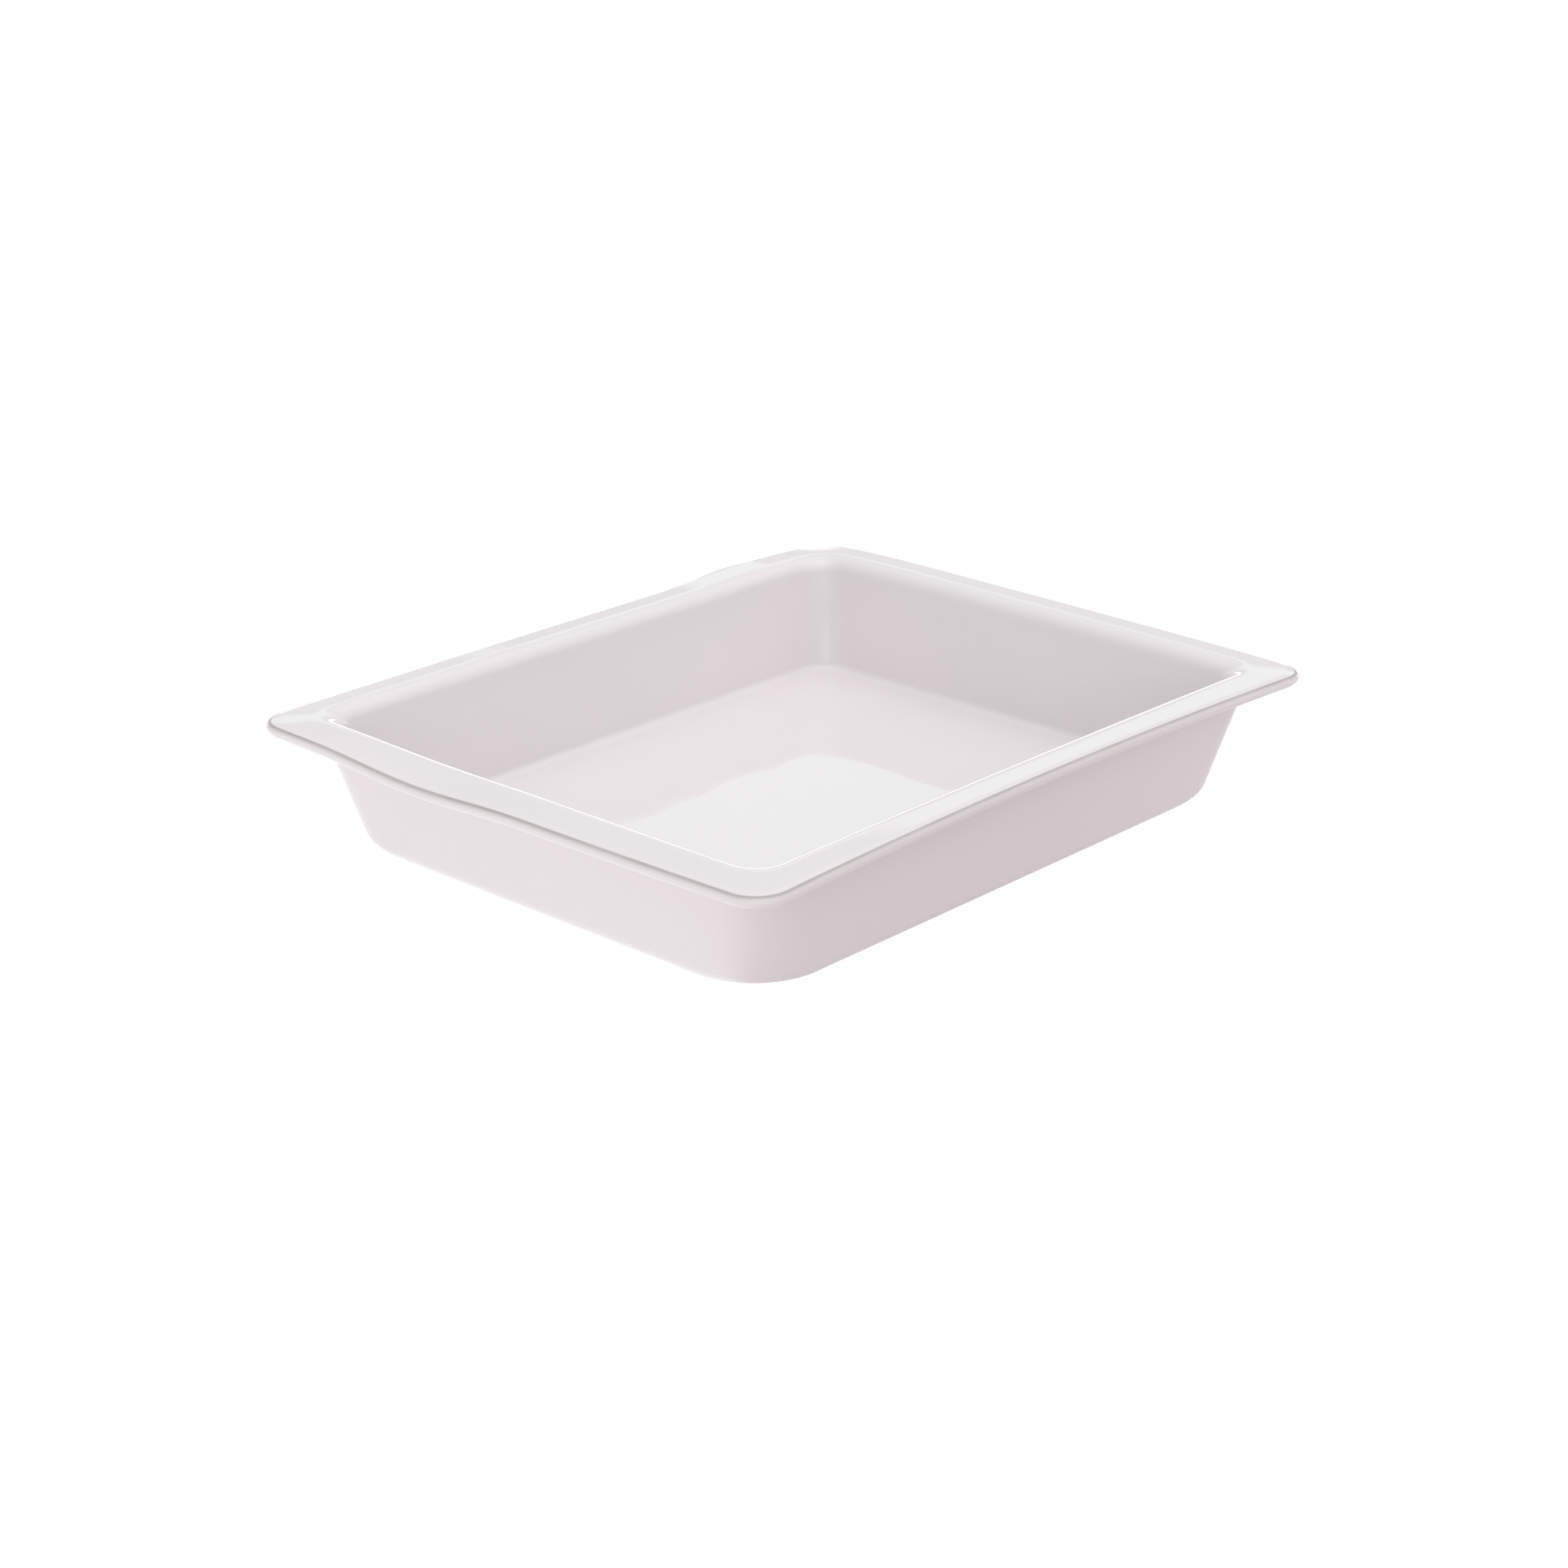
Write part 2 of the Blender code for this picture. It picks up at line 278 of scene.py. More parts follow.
# %% Over the sloping shoulder, round the flange's edge and back under it
SHOULDER_STEPS = 5
SHOULDER_PARTS = (0.3, 0.6, 0.85)
UPPER_ROUND_STEPS = 18
LOWER_ROUND_STEPS = 12
UNDERSIDE_RING = 0.0006  # how far past the lower round the underside's first ring lies


def edge_levels():
    """The shoulder, the upper round, the lower round and the flat underside."""
    levels = []
    for part in steps(0.0, 1.0, SHOULDER_STEPS)[1:]:
        mean_slope = blend(TOP_SLOPE, SHOULDER_SLOPE, part / 2)
        height = FLANGE_TOP - SHOULDER_BEND * part * math.tan(mean_slope)
        slope = blend(TOP_SLOPE, SHOULDER_SLOPE, part)
        inset = SHOULDER_START - SHOULDER_BEND * part
        levels.append(in_from_edge(inset, height, math.pi / 2 - slope))
    first = math.pi / 2 - SHOULDER_SLOPE
    start = EDGE_ROUND * (1.0 - math.cos(first))
    run = SHOULDER_START - SHOULDER_BEND - start
    top = levels[-1].height - run * math.tan(SHOULDER_SLOPE)
    round_start = in_from_edge(start, top, first)
    levels += [between(levels[-1], round_start, part) for part in SHOULDER_PARTS]
    widest = top - EDGE_ROUND * math.sin(first)
    for facing in steps(first, 0.0, UPPER_ROUND_STEPS):
        inset = EDGE_ROUND * (1.0 - math.cos(facing))
        level = in_from_edge(inset, widest + EDGE_ROUND * math.sin(facing), facing)
        # the upper round carries painted shade, set by the way it faces
        levels.append(level._replace(thin=painted_edge_shade(facing)))
    low_round = widest - FLANGE_UNDERSIDE
    for facing in steps(0.0, -math.pi / 2, LOWER_ROUND_STEPS)[1:]:
        inset = low_round * (1.0 - math.cos(facing))
        levels.append(in_from_edge(inset, widest + low_round * math.sin(facing), facing))
    levels.append(in_from_edge(low_round + UNDERSIDE_RING, FLANGE_UNDERSIDE, -math.pi / 2))
    return levels


print("levels round the edge:", len(edge_levels()))

# %% The outer wall and the rounded edge of the base
FLANGE_FILLET = 0.003
FLANGE_FILLET_STEPS = 8
BASE_ROUND = 0.0076
BASE_ROUND_STEPS = 14
BASE_CORNER = 0.032


def outer_wall_run(height):
    """How far inside the lip's crest the outer wall lies, a wall's thickness from the well."""
    return wall_run(height) - WALL_THICKNESS / math.cos(WALL_DRAFT)


def fillet_levels():
    """The inside turn under the flange, going down."""
    centre = FLANGE_UNDERSIDE - FLANGE_FILLET
    top = centre + FLANGE_FILLET * math.sin(WALL_DRAFT)
    centre_run = outer_wall_run(top) - FLANGE_FILLET * math.cos(WALL_DRAFT)
    levels = []
    for facing in steps(-math.pi / 2, -WALL_DRAFT, FLANGE_FILLET_STEPS):
        run = centre_run + FLANGE_FILLET * math.cos(facing)
        height = centre - FLANGE_FILLET * math.sin(facing)
        corner = wall_corner(height) + WALL_THICKNESS
        levels.append(in_from_lip(run, corner, height, facing, LIP_SHARE))
    return levels


print("the fillet under the flange ends", round(fillet_levels()[-1].height * 1000, 1), "mm up")

# %% Down the wall to the base


def base_levels():
    """The base's rounded edge, which opens its corners out as it turns under."""
    centre = FOOT_HEIGHT + BASE_ROUND
    foot = centre - BASE_ROUND * math.sin(WALL_DRAFT)
    centre_run = outer_wall_run(foot) + BASE_ROUND * math.cos(WALL_DRAFT)
    levels = []
    for turned in steps(0.0, 1.0, BASE_ROUND_STEPS):
        facing = blend(-WALL_DRAFT, -math.pi / 2, turned)
        run = centre_run - BASE_ROUND * math.cos(facing)
        height = centre + BASE_ROUND * math.sin(facing)
        corner = blend(wall_corner(foot) + WALL_THICKNESS, BASE_CORNER, turned)
        levels.append(in_from_lip(run, corner, height, facing, wall_share(height)))
    return levels


def outside_levels():
    """Fillet, wall and base, with extra rings beside each tangent."""
    fillet, base = fillet_levels(), base_levels()
    wall = [between(fillet[-1], base[0], part) for part in WALL_PARTS]
    return fillet + wall + base


print("levels on the outside:", len(outside_levels()))

# %% Put the section together
UNDERSIDE_PARTS = (0.3, 0.65, 0.95)
underside = edge_levels()[-1]
fillet_start = fillet_levels()[0]
under_flange = [between(underside, fillet_start, part) for part in UNDERSIDE_PARTS]
section = well_levels() + top_levels() + edge_levels() + under_flange + outside_levels()
base = section[-1]
print("the section has", len(section), "levels")

# %% [markdown]
# Three skins from one section
#
# The glaze is a shell 0.4 mm thick. It covers the pan from the well to the underside and stops
# beside the foot ring, where the potter wipes it off so the pan doesn't stick to the kiln
# shelf. Its edge there is rounded, as melted glaze is. The clay fills the shell and ends in
# the bare ring, and a second panel of glaze lies inside the ring. All three are lists of
# levels, so they meet without gaps that show.

# %% Skins that lie deeper, and levels on the underside
GLAZE_THICKNESS = 0.0004
CLAY_DEPTH = 0.00042


def sunk(level, depth):
    """The same level on a skin that lies a depth inside the glaze's surface."""
    return level._replace(
        half_length=level.half_length - depth * level.out,
        half_width=level.half_width - depth * level.out,
        corner=level.corner - depth * level.out,
        height=level.height - depth * level.up,
    )


def narrowed(inset, height, out=0.0, up=-1.0):
    """A level further in on the underside, its corners drawn in with it."""
    half_length, half_width = base.half_length - inset, base.half_width - inset
    return Level(half_length, half_width, base.corner - inset, height, out, up, 0.0, 0.0)


print("the clay lies", CLAY_DEPTH * 1000, "mm under the glaze's surface")

# %% The coat, with its edge rolled round beside the foot
FOOT_WIDTH = 0.0055
FOOT_SETBACK = 0.0030
GLAZE_STOP = 0.0008
GLAZE_EDGE = GLAZE_THICKNESS / 2
GLAZE_EDGE_STEPS = 6


def rolled_edge(inset, first, last):
    """Levels round the glaze's own edge, half a glaze's thickness in radius."""
    levels = []
    for facing in steps(first, last, GLAZE_EDGE_STEPS):
        out, up = math.cos(facing), math.sin(facing)
        height = FOOT_HEIGHT + GLAZE_EDGE * (1.0 + up)
        levels.append(narrowed(inset - GLAZE_EDGE * out, height, out, up))
    return levels


def coat_levels():
    """The section's skin, the rolled edge beside the foot, and back inside the shell."""
    stop = FOOT_SETBACK - GLAZE_STOP - GLAZE_EDGE
    edge = rolled_edge(stop, -math.pi / 2, -3 * math.pi / 2)
    inner = [sunk(level, GLAZE_THICKNESS) for level in reversed(section)]
    return section + edge + inner


print("levels in the coat:", len(coat_levels()))

# %% The clay's foot ring and the panel of glaze inside it
FOOT_ROUND = 0.0006
FOOT_ROUND_STEPS = 5
FOOT_ROOT_RING = 0.0006  # rings this far beside and below the ring's root keep its turn sharp
FOOT_ROOT_DROP = 0.0005
PANEL_RING = 0.002  # how far inside its rolled edge the panel's flat ring lies


def foot_levels():
    """Down the ring's outer side, round and across its foot, and up its inner side."""
    root = FOOT_HEIGHT + CLAY_DEPTH
    levels = [narrowed(FOOT_SETBACK - FOOT_ROOT_RING, root)]
    levels.append(narrowed(FOOT_SETBACK, root - FOOT_ROOT_DROP))
    for facing in steps(0.0, -math.pi / 2, FOOT_ROUND_STEPS):
        inset = FOOT_SETBACK + FOOT_ROUND * (1.0 - math.cos(facing))
        levels.append(narrowed(inset, FOOT_ROUND * (1.0 + math.sin(facing))))
    inner = FOOT_SETBACK + FOOT_WIDTH
    for facing in steps(-math.pi / 2, -math.pi, FOOT_ROUND_STEPS):
        inset = inner - FOOT_ROUND * (1.0 + math.cos(facing))
        levels.append(narrowed(inset, FOOT_ROUND * (1.0 + math.sin(facing))))
    levels.append(narrowed(inner, root - FOOT_ROOT_DROP))
    return levels + [narrowed(inner + FOOT_ROOT_RING, root)]


def clay_levels():
    """The section sunk under the glaze, closed by the bare foot ring."""
    return [sunk(level, CLAY_DEPTH) for level in section] + foot_levels()


def panel_levels():
    """A thin plate of glaze with a rolled edge."""
    inset = FOOT_SETBACK + FOOT_WIDTH + GLAZE_STOP + GLAZE_EDGE
    edge = rolled_edge(inset, math.pi / 2, -math.pi / 2)
    inside = inset + PANEL_RING
    top = narrowed(inside, FOOT_HEIGHT + GLAZE_THICKNESS)
    return [top] + edge + [narrowed(inside, FOOT_HEIGHT)]


print("levels in the clay:", len(clay_levels()), "and in the panel:", len(panel_levels()))

# %% [markdown]
# The rule that shapes the pan
#
# Every ring of the mesh follows one rule: straight sides and four round corners, then the
# movement of the kiln. Porcelain softens when it is fired. This rim has lifted along its long
# sides and at its right end, drooped in a wave at its left end, and swelled up at the back
# beside the right corner. A rule like that suits Geometry Nodes. The mesh goes in flat, each
# point knowing only its level and its place round the ring, and the tree works out where the
# point lies. The kiln's movement is then a row of named inputs that can be turned up, down
# or off.

# %% Places round a ring
CORNER_STEPS = 24
SIDE_STEPS = 40
END_STEPS = 34


def ring_places():
    """For each point: its share of the straight half sides, and the way its corner points."""
    signs = ((1, -1), (1, 1), (-1, 1), (-1, -1))
    places = []
    for index, (sign_x, sign_y) in enumerate(signs):
        start = math.pi / 2 * (index - 1)
        for angle in steps(start, start + math.pi / 2, CORNER_STEPS):
            places.append(((sign_x, sign_y, 0.0), (math.cos(angle), math.sin(angle), 0.0)))
        next_x, next_y = signs[(index + 1) % 4]
        count = END_STEPS if index % 2 == 0 else SIDE_STEPS
        for share in steps(0.0, 1.0, count)[1:-1]:
            walk = (blend(sign_x, next_x, share), blend(sign_y, next_y, share), 0.0)
            places.append((walk, places[-1][1]))
    return places


places = ring_places()
print("points round a ring:", len(places))

# %% The flat mesh that goes into the tree


def sheet_mesh(name, levels):
    """Rings of points joined by quads, closed at both ends, with the rule's numbers on them."""
    around = len(places)
    faces = [tuple(range(around))]
    for row in range(len(levels) - 1):
        for index in range(around):
            first, following = row * around + index, row * around + (index + 1) % around
            faces.append((first, first + around, following + around, following))
    last = (len(levels) - 1) * around
    faces.append(tuple(reversed(range(last, last + around))))
    mesh = bpy.data.meshes.new(name)
    points = [(index, row, 0.0) for row in range(len(levels)) for index in range(around)]
    mesh.from_pydata(points, [], faces)
    numbers = {
        "walk": ("FLOAT_VECTOR", [walk for _ in levels for walk, _ in places]),
        "turn": ("FLOAT_VECTOR", [turn for _ in levels for _, turn in places]),
        "half_sizes": (
            "FLOAT_VECTOR",
            [(lv.half_length, lv.half_width, 1.0) for lv in levels for _ in places],
        ),
        "corner": ("FLOAT", [level.corner for level in levels for _ in places]),
        "height": ("FLOAT", [level.height for level in levels for _ in places]),
        "share": ("FLOAT", [level.share for level in levels for _ in places]),
        "painted_edge_shade": ("FLOAT", [level.thin for level in levels for _ in places]),
    }
    for label, (kind, values) in numbers.items():
        attribute = mesh.attributes.new(label, kind, "POINT")
        if kind == "FLOAT_VECTOR":
            attribute.data.foreach_set("vector", [part for value in values for part in value])
        else:
            attribute.data.foreach_set("value", values)
    return mesh


print("points in the coat:", len(places) * len(coat_levels()))

# %% Small helpers that write formulas as nodes


def plug(tree, socket, value):
    """Link a socket to another socket, or set it to a plain value."""
    if isinstance(value, bpy.types.NodeSocket):
        tree.links.new(value, socket)
    else:
        socket.default_value = value


def calculate(tree, operation, *values, clamp=False):
    """A Math node in a shader or geometry tree."""
    node = tree.nodes.new("ShaderNodeMath")
    node.operation = operation
    node.use_clamp = clamp
    for socket, value in zip(node.inputs, values):
        plug(tree, socket, value)
    return node.outputs[0]


def calculate_vector(tree, operation, *values):
    """A Vector Math node that gives a vector."""
    node = tree.nodes.new("ShaderNodeVectorMath")
    node.operation = operation
    for socket, value in zip(node.inputs, values):
        plug(tree, socket, value)
    return node.outputs["Vector"]


def split(tree, vector):
    """A vector's three parts."""
    node = tree.nodes.new("ShaderNodeSeparateXYZ")
    plug(tree, node.inputs[0], vector)
    return node.outputs


print("helpers for sums, vectors and their parts are ready")

# %% The tree's named inputs
kiln = bpy.data.node_groups.new("kiln_fired_rings", "GeometryNodeTree")
kiln.is_modifier = True
kiln.interface.new_socket("Rings", in_out="INPUT", socket_type="NodeSocketGeometry")
MOVES = {
    "Side rise": 0.00196,
    "Side draw-in": 0.00326,
    "End droop": 0.0010,
    "End bow": 0.00089,
    "Right lift": 0.00195,
    "Lift skew": 0.6,
    "Back swell": 0.0019,
    "Swell centre": 0.108,
    "Swell reach": 0.060,
    "Wave depth": 0.0024,
    "Wave centre": 0.041,
    "Wave reach": 0.057,
}
for label, amount in MOVES.items():
    socket = kiln.interface.new_socket(label, in_out="INPUT", socket_type="NodeSocketFloat")
    socket.default_value = amount
kiln.interface.new_socket("Finish", in_out="INPUT", socket_type="NodeSocketMaterial")
kiln.interface.new_socket("Pan", in_out="OUTPUT", socket_type="NodeSocketGeometry")
given = kiln.nodes.new("NodeGroupInput").outputs
print("inputs:", [item.name for item in kiln.interface.items_tree if item.in_out == "INPUT"])

# %% A point's place on its rounded rectangle


def stored(label, kind="FLOAT"):
    """Read one of the numbers that the flat mesh carries."""
    node = kiln.nodes.new("GeometryNodeInputNamedAttribute")
    node.data_type = kind
    node.inputs["Name"].default_value = label
    return node.outputs["Attribute"]


half_sizes = stored("half_sizes", "FLOAT_VECTOR")
corner = stored("corner")
straight = calculate_vector(kiln, "SUBTRACT", half_sizes, corner)
along_sides = calculate_vector(kiln, "MULTIPLY", stored("walk", "FLOAT_VECTOR"), straight)
round_corner = calculate_vector(kiln, "MULTIPLY", stored("turn", "FLOAT_VECTOR"), corner)
place = calculate_vector(kiln, "ADD", along_sides, round_corner)
place_x, place_y, _ = split(kiln, place)
print("a place is the walk along the sides plus the turn of the corner")

# %% How far along a side or an end it is, and the movement there
reached = calculate_vector(kiln, "DIVIDE", place, half_sizes)
along, across, _ = split(kiln, calculate_vector(kiln, "MULTIPLY", reached, reached))
share = stored("share")


def middle_of(edge, other):
    """Strongest at the middle of a side, nothing at its corners, scaled by the level's share."""
    fades = calculate(kiln, "MULTIPLY", calculate(kiln, "SUBTRACT", 1.0, other), edge)
    return calculate(kiln, "MULTIPLY", fades, share)


side = middle_of(across, along)
end = middle_of(along, across)
print("movement is strongest at the middle of each side")

# %% The slow swells in the left end and the back side


def swell(place_along, centre, reach, edge, beyond):
    """A single soft swell along one edge of the rim, on one side of the middle only."""
    off = calculate(kiln, "ABSOLUTE", calculate(kiln, "SUBTRACT", place_along, given[centre]))
    off = calculate(kiln, "MINIMUM", calculate(kiln, "DIVIDE", off, given[reach]), 1.0)
    height = calculate(kiln, "COSINE", calculate(kiln, "MULTIPLY", off, math.pi))
    height = calculate(kiln, "MULTIPLY_ADD", height, 0.5, 0.5)
    height = calculate(kiln, "MULTIPLY", height, calculate(kiln, "MULTIPLY", edge, share))
    return calculate(kiln, "MULTIPLY", height, beyond)


on_left = calculate(kiln, "LESS_THAN", place_x, 0.0)
on_right = calculate(kiln, "SUBTRACT", 1.0, on_left)
at_back = calculate(kiln, "GREATER_THAN", place_y, 0.0)
wave = swell(place_y, "Wave centre", "Wave reach", along, on_left)
back_swell = swell(place_x, "Swell centre", "Swell reach", across, at_back)
print("the left end sinks in one swell and the back side rises in another")

# %% The lift of the right end, lip and all
RIM_LIFT = 0.5  # the lift that the whole rim takes; the rest grows toward the flange's edge
WALL_LIFT = 2.5  # how fast the wall below the lip takes the lift up
LIFT_FLATNESS = 3.0  # a high power keeps the lift even until close to the corners
lifted_share = calculate(kiln, "MULTIPLY_ADD", share, 1.0 - RIM_LIFT, RIM_LIFT)
wall_lift = calculate(kiln, "MULTIPLY", share, WALL_LIFT)
lifted_share = calculate(kiln, "MINIMUM", lifted_share, wall_lift)
toward_corners = calculate(kiln, "POWER", across, LIFT_FLATNESS)
flat_top = calculate(kiln, "SUBTRACT", 1.0, toward_corners)
right_lift = calculate(kiln, "MULTIPLY", flat_top, calculate(kiln, "MULTIPLY", along, on_right))
right_lift = calculate(kiln, "MULTIPLY", right_lift, lifted_share)
back_share = calculate(kiln, "MULTIPLY_ADD", split(kiln, reached)[1], given["Lift skew"], 1.0)
right_lift = calculate(kiln, "MULTIPLY", right_lift, back_share)
print("the lift is strongest toward the back corner")

# %% Move each point, then hand over a plain mesh
final_z = calculate(kiln, "MULTIPLY_ADD", given["Side rise"], side, stored("height"))
final_z = calculate(kiln, "MULTIPLY_ADD", given["Back swell"], back_swell, final_z)
final_z = calculate(kiln, "MULTIPLY_ADD", given["Right lift"], right_lift, final_z)
left_end = calculate(kiln, "MULTIPLY", end, on_left)
drooped = calculate(kiln, "MULTIPLY", given["End droop"], left_end)
waved = calculate(kiln, "MULTIPLY", given["Wave depth"], wave)
final_z = calculate(kiln, "SUBTRACT", calculate(kiln, "SUBTRACT", final_z, drooped), waved)
bowed = calculate(kiln, "MULTIPLY", given["End bow"], end)
bowed = calculate(kiln, "MULTIPLY", bowed, calculate(kiln, "SIGN", place_x))
drawn = calculate(kiln, "MULTIPLY", given["Side draw-in"], side)
drawn = calculate(kiln, "MULTIPLY", drawn, calculate(kiln, "SIGN", place_y))
fired = kiln.nodes.new("ShaderNodeCombineXYZ")
plug(kiln, fired.inputs["X"], calculate(kiln, "ADD", place_x, bowed))
plug(kiln, fired.inputs["Y"], calculate(kiln, "SUBTRACT", place_y, drawn))
plug(kiln, fired.inputs["Z"], final_z)
flow = given["Rings"]
for kind, settings in (
    ("GeometryNodeSetPosition", {"Position": fired.outputs[0]}),
    ("GeometryNodeSetShadeSmooth", {}),
    ("GeometryNodeRealizeInstances", {}),
    ("GeometryNodeSetMaterial", {"Material": given["Finish"]}),
):
    node = kiln.nodes.new(kind)
    plug(kiln, node.inputs[0], flow)
    for label, value in settings.items():
        plug(kiln, node.inputs[label], value)
    flow = node.outputs[0]
plug(kiln, kiln.nodes.new("NodeGroupOutput").inputs["Pan"], flow)
print("the tree has", len(kiln.nodes), "nodes")

# %% [markdown]
# Patterns that both finishes share
#
# Bare clay and glaze are different surfaces with the same small faults: a fine grain, and
# specks where a grain of iron or a pinhole shows. Each pattern is a node group with named
# inputs, and each finish uses it with its own values. The groups give only numbers: the
# shaders stay in the materials.

# %% A group for grain, in two sizes that add up


def new_group(name, inputs, output):
    """A shader group that turns Object coordinates and some sizes into one number."""
    group = bpy.data.node_groups.new(name, "ShaderNodeTree")
    group.interface.new_socket("Place", in_out="INPUT", socket_type="NodeSocketVector")
    for label, amount in inputs.items():
        socket = group.interface.new_socket(label, in_out="INPUT", socket_type="NodeSocketFloat")
        socket.default_value = amount
    group.interface.new_socket(output, in_out="OUTPUT", socket_type="NodeSocketFloat")
    return group, group.nodes.new("NodeGroupInput").outputs


def noise(tree, place, scale, detail=2.0, roughness=0.5):
    """A Noise Texture's height, from 0 to 1."""
    node = tree.nodes.new("ShaderNodeTexNoise")
    plug(tree, node.inputs["Vector"], place)
    plug(tree, node.inputs["Scale"], scale)
    node.inputs["Detail"].default_value = detail
    node.inputs["Roughness"].default_value = roughness
    return node.outputs[0]


GRAIN_SIZES = {"Coarse": 60.0, "Fine": 900.0, "Fine share": 0.3}
grain, grain_given = new_group("grain", GRAIN_SIZES, "Grain")
coarse = noise(grain, grain_given["Place"], grain_given["Coarse"])
fine = noise(grain, grain_given["Place"], grain_given["Fine"])
fine_part = calculate(grain, "MULTIPLY", fine, grain_given["Fine share"])
coarse_share = calculate(grain, "SUBTRACT", 1.0, grain_given["Fine share"])
both = calculate(grain, "MULTIPLY_ADD", coarse, coarse_share, fine_part)
plug(grain, grain.nodes.new("NodeGroupOutput").inputs["Grain"], both)
print("the grain group has", len(grain.nodes), "nodes")

# %% A group for specks
SPECK_SIZES = {"Cells": 60.0, "Size": 0.02, "Chance": 0.05}
specks, specks_given = new_group("specks", SPECK_SIZES, "Speck")
cells = specks.nodes.new("ShaderNodeTexVoronoi")
plug(specks, cells.inputs["Vector"], specks_given["Place"])
plug(specks, cells.inputs["Scale"], specks_given["Cells"])
near = calculate(specks, "DIVIDE", cells.outputs["Distance"], specks_given["Size"])
near = calculate(specks, "SUBTRACT", 1.0, near, clamp=True)
lot = split(specks, cells.outputs["Color"])[0]
drawn_lot = calculate(specks, "LESS_THAN", lot, specks_given["Chance"])
speck = calculate(specks, "MULTIPLY", near, drawn_lot)
plug(specks, specks.nodes.new("NodeGroupOutput").inputs["Speck"], speck)
print("the specks group has", len(specks.nodes), "nodes")

# %% [markdown]
# The glaze
#
# Porcelain glaze is clear glass over white clay. It is smooth but never flat: its surface has
# a faint orange peel and long, shallow waves that make reflections wander. The colour is a
# white with a trace of pink, with a painted grey line of shade on the flange's edge. A coat
# layer over a rough base could stand for it, but one glossy Principled shader gives the same
# look at this size with less noise.

# %% Helpers that start a material and place a group in it
COLOUR_A, COLOUR_B, COLOUR_OUT = 6, 7, 2  # the colour sockets of a Mix node


def new_finish(name):
    """A material, its tree, its Principled shader and its Object coordinates."""
    material = bpy.data.materials.new(name)
    material.use_nodes = True
    tree = material.node_tree
    place = tree.nodes.new("ShaderNodeTexCoord").outputs["Object"]
    return material, tree, tree.nodes["Principled BSDF"], place


def use_group(tree, group, place, **values):
    """Place a group in a material with its own values, and give its number."""
    node = tree.nodes.new("ShaderNodeGroup")
    node.node_tree = group
    plug(tree, node.inputs["Place"], place)
    for label, value in values.items():
        node.inputs[label.replace("_", " ")].default_value = value
    return node.outputs[0]


def mix_colours(tree, share, first, second):
    """The first colour at a share of 0, the second at 1."""
    node = tree.nodes.new("ShaderNodeMix")
    node.data_type = "RGBA"
    plug(tree, node.inputs["Factor"], share)
    plug(tree, node.inputs[COLOUR_A], first)
    plug(tree, node.inputs[COLOUR_B], second)
    return node.outputs[COLOUR_OUT]


def bump(tree, height, distance, normal=None):
    """A normal bent by a height, on top of another bent normal where one is given."""
    node = tree.nodes.new("ShaderNodeBump")
    plug(tree, node.inputs["Height"], height)
    node.inputs["Distance"].default_value = distance
    if normal is not None:
        plug(tree, node.inputs["Normal"], normal)
    return node.outputs["Normal"]


print("finish helpers are ready")

# %% The glaze's colour, with a painted shade line on the edge
PORCELAIN = (0.80, 0.748, 0.762, 1.0)
PORCELAIN_COOL = (0.785, 0.748, 0.758, 1.0)
EDGE_SHADE_GREY = (0.45, 0.408, 0.403, 1.0)
SPECK_BROWN = (0.16, 0.13, 0.12, 1.0)
EDGE_SHADE_LEAST, EDGE_SHADE_RANGE = 0.7, 0.5  # how much the painted shade line varies along the edge
PINHOLE_HARDNESS = 3.0
white_glaze, glaze_tree, glaze_shader, glaze_place = new_finish("white_glaze")
clouds = noise(glaze_tree, glaze_place, scale=14.0, detail=1.0)
colour = mix_colours(glaze_tree, clouds, PORCELAIN, PORCELAIN_COOL)
# a painted grey line of shade on the flange's edge, read from the mesh
thin = glaze_tree.nodes.new("ShaderNodeAttribute")
thin.attribute_name = "painted_edge_shade"
patches = noise(glaze_tree, glaze_place, scale=35.0)
patchy = calculate(glaze_tree, "MULTIPLY_ADD", patches, EDGE_SHADE_RANGE, EDGE_SHADE_LEAST)
edge_shade_share = calculate(glaze_tree, "MULTIPLY", thin.outputs["Fac"], patchy, clamp=True)
colour = mix_colours(glaze_tree, edge_shade_share, colour, EDGE_SHADE_GREY)
pinholes = use_group(glaze_tree, specks, glaze_place, Cells=55.0, Size=0.02, Chance=0.012)
pinhole_mask = calculate(glaze_tree, "MULTIPLY", pinholes, PINHOLE_HARDNESS, clamp=True)
colour = mix_colours(glaze_tree, pinhole_mask, colour, SPECK_BROWN)
plug(glaze_tree, glaze_shader.inputs["Base Color"], colour)
print("the glaze is a white with", len(glaze_tree.nodes), "nodes so far")

# %% The glaze's gloss and its slow waves
GLAZE_ROUGHEST = 0.02
WAVE_HEIGHT = 0.0004
PEEL_HEIGHT = 0.00001
peel = use_group(glaze_tree, grain, glaze_place, Coarse=260.0, Fine=900.0, Fine_share=0.25)
smears = noise(glaze_tree, glaze_place, scale=22.0)
roughness = calculate(glaze_tree, "MULTIPLY", smears, GLAZE_ROUGHEST)
plug(glaze_tree, glaze_shader.inputs["Roughness"], roughness)
glaze_shader.inputs["IOR"].default_value = 1.5
waves = noise(glaze_tree, glaze_place, scale=30.0, detail=0.0)
normal = bump(glaze_tree, waves, WAVE_HEIGHT)
normal = bump(glaze_tree, peel, PEEL_HEIGHT, normal)
plug(glaze_tree, glaze_shader.inputs["Normal"], normal)
print("the glaze has", len(glaze_tree.nodes), "nodes")

# %% [markdown]
# The bare clay
#
# Only the foot ring shows bare clay. Fired porcelain without glaze is a warm, matt off-white
# with a grain like fine sandpaper. From afar one dull colour would do, but the grain and a few
# specks of iron hold up close to, so the clay uses the same two groups as the glaze.

